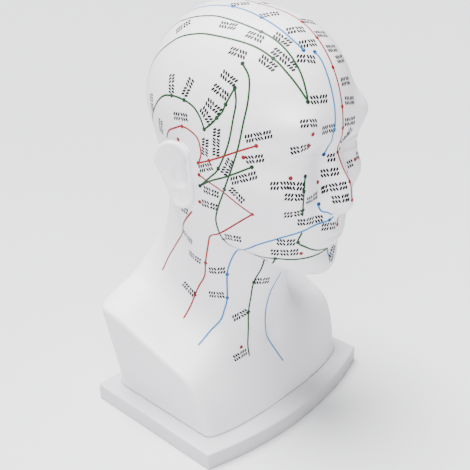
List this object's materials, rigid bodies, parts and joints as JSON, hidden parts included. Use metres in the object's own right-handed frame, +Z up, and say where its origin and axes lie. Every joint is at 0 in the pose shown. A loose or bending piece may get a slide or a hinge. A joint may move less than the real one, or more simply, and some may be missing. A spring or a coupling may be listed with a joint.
{
  "type": "acupuncture head model",
  "caption": "Life-size demonstration head on a cut-off bust with its own flat plate, printed with point lines and dots, standing by its own weight.",
  "frame": {"origin": "middle of the base plate's rectangle, on its underside", "axes": "+Z up, the face looks along -Y, +X towards the head's own left side"},
  "size_m": [0.23, 0.2101, 0.3879],
  "materials": {
    "moulded_skin": "matte white moulded soft PVC with thin printed lines, dots and marks",
    "base_plate": "matte white moulded rigid plastic plate"
  },
  "bodies": {
    "root": {"head_bust": "moulded_skin", "base_plate": "base_plate"}
  },
  "joints": []
}
